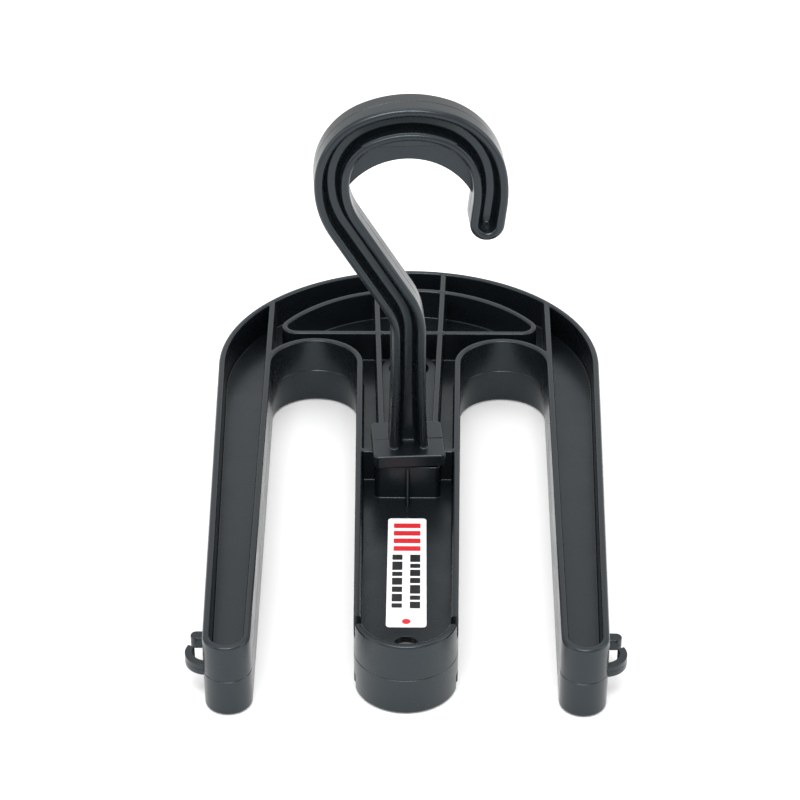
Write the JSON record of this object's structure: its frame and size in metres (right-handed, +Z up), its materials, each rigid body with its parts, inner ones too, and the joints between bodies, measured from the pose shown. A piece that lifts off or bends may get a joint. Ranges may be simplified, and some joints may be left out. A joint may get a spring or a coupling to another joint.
{
  "type": "boot hanger",
  "caption": "Moulded fork that carries a pair of boots by the ankles, hung from a tall rail hook that swivels on a hub in the middle prong.",
  "frame": {"origin": "under the middle of the fork's length and width, on the plane of the fork's lower rims", "axes": "+X to the right across the prongs, +Y from the prong tips towards the arch, +Z up along the hook's shank"},
  "size_m": [0.234, 0.413, 0.2629],
  "materials": {
    "moulded_plastic": "fine-grained satin black",
    "washer_plastic": "natural white",
    "zinc_steel": "zinc plated",
    "label_film": "printed white film, no text"
  },
  "bodies": {
    "frame": {"frame_upper_half": "moulded_plastic", "frame_lower_half": "moulded_plastic", "thrust_washer": "washer_plastic", "label": "label_film"},
    "hook": {"hook_front_half": "moulded_plastic", "hook_rear_half": "moulded_plastic", "captive_nut": "zinc_steel", "retaining_washer": "zinc_steel", "lock_washer": "zinc_steel", "retaining_bolt": "zinc_steel"}
  },
  "joints": [
    {"name": "hook_swivel", "type": "hinge", "parent": "frame", "child": "hook", "pos_m": [0, -0.019, 0.0442], "axis": [0, 0, 1], "continuous": true}
  ]
}
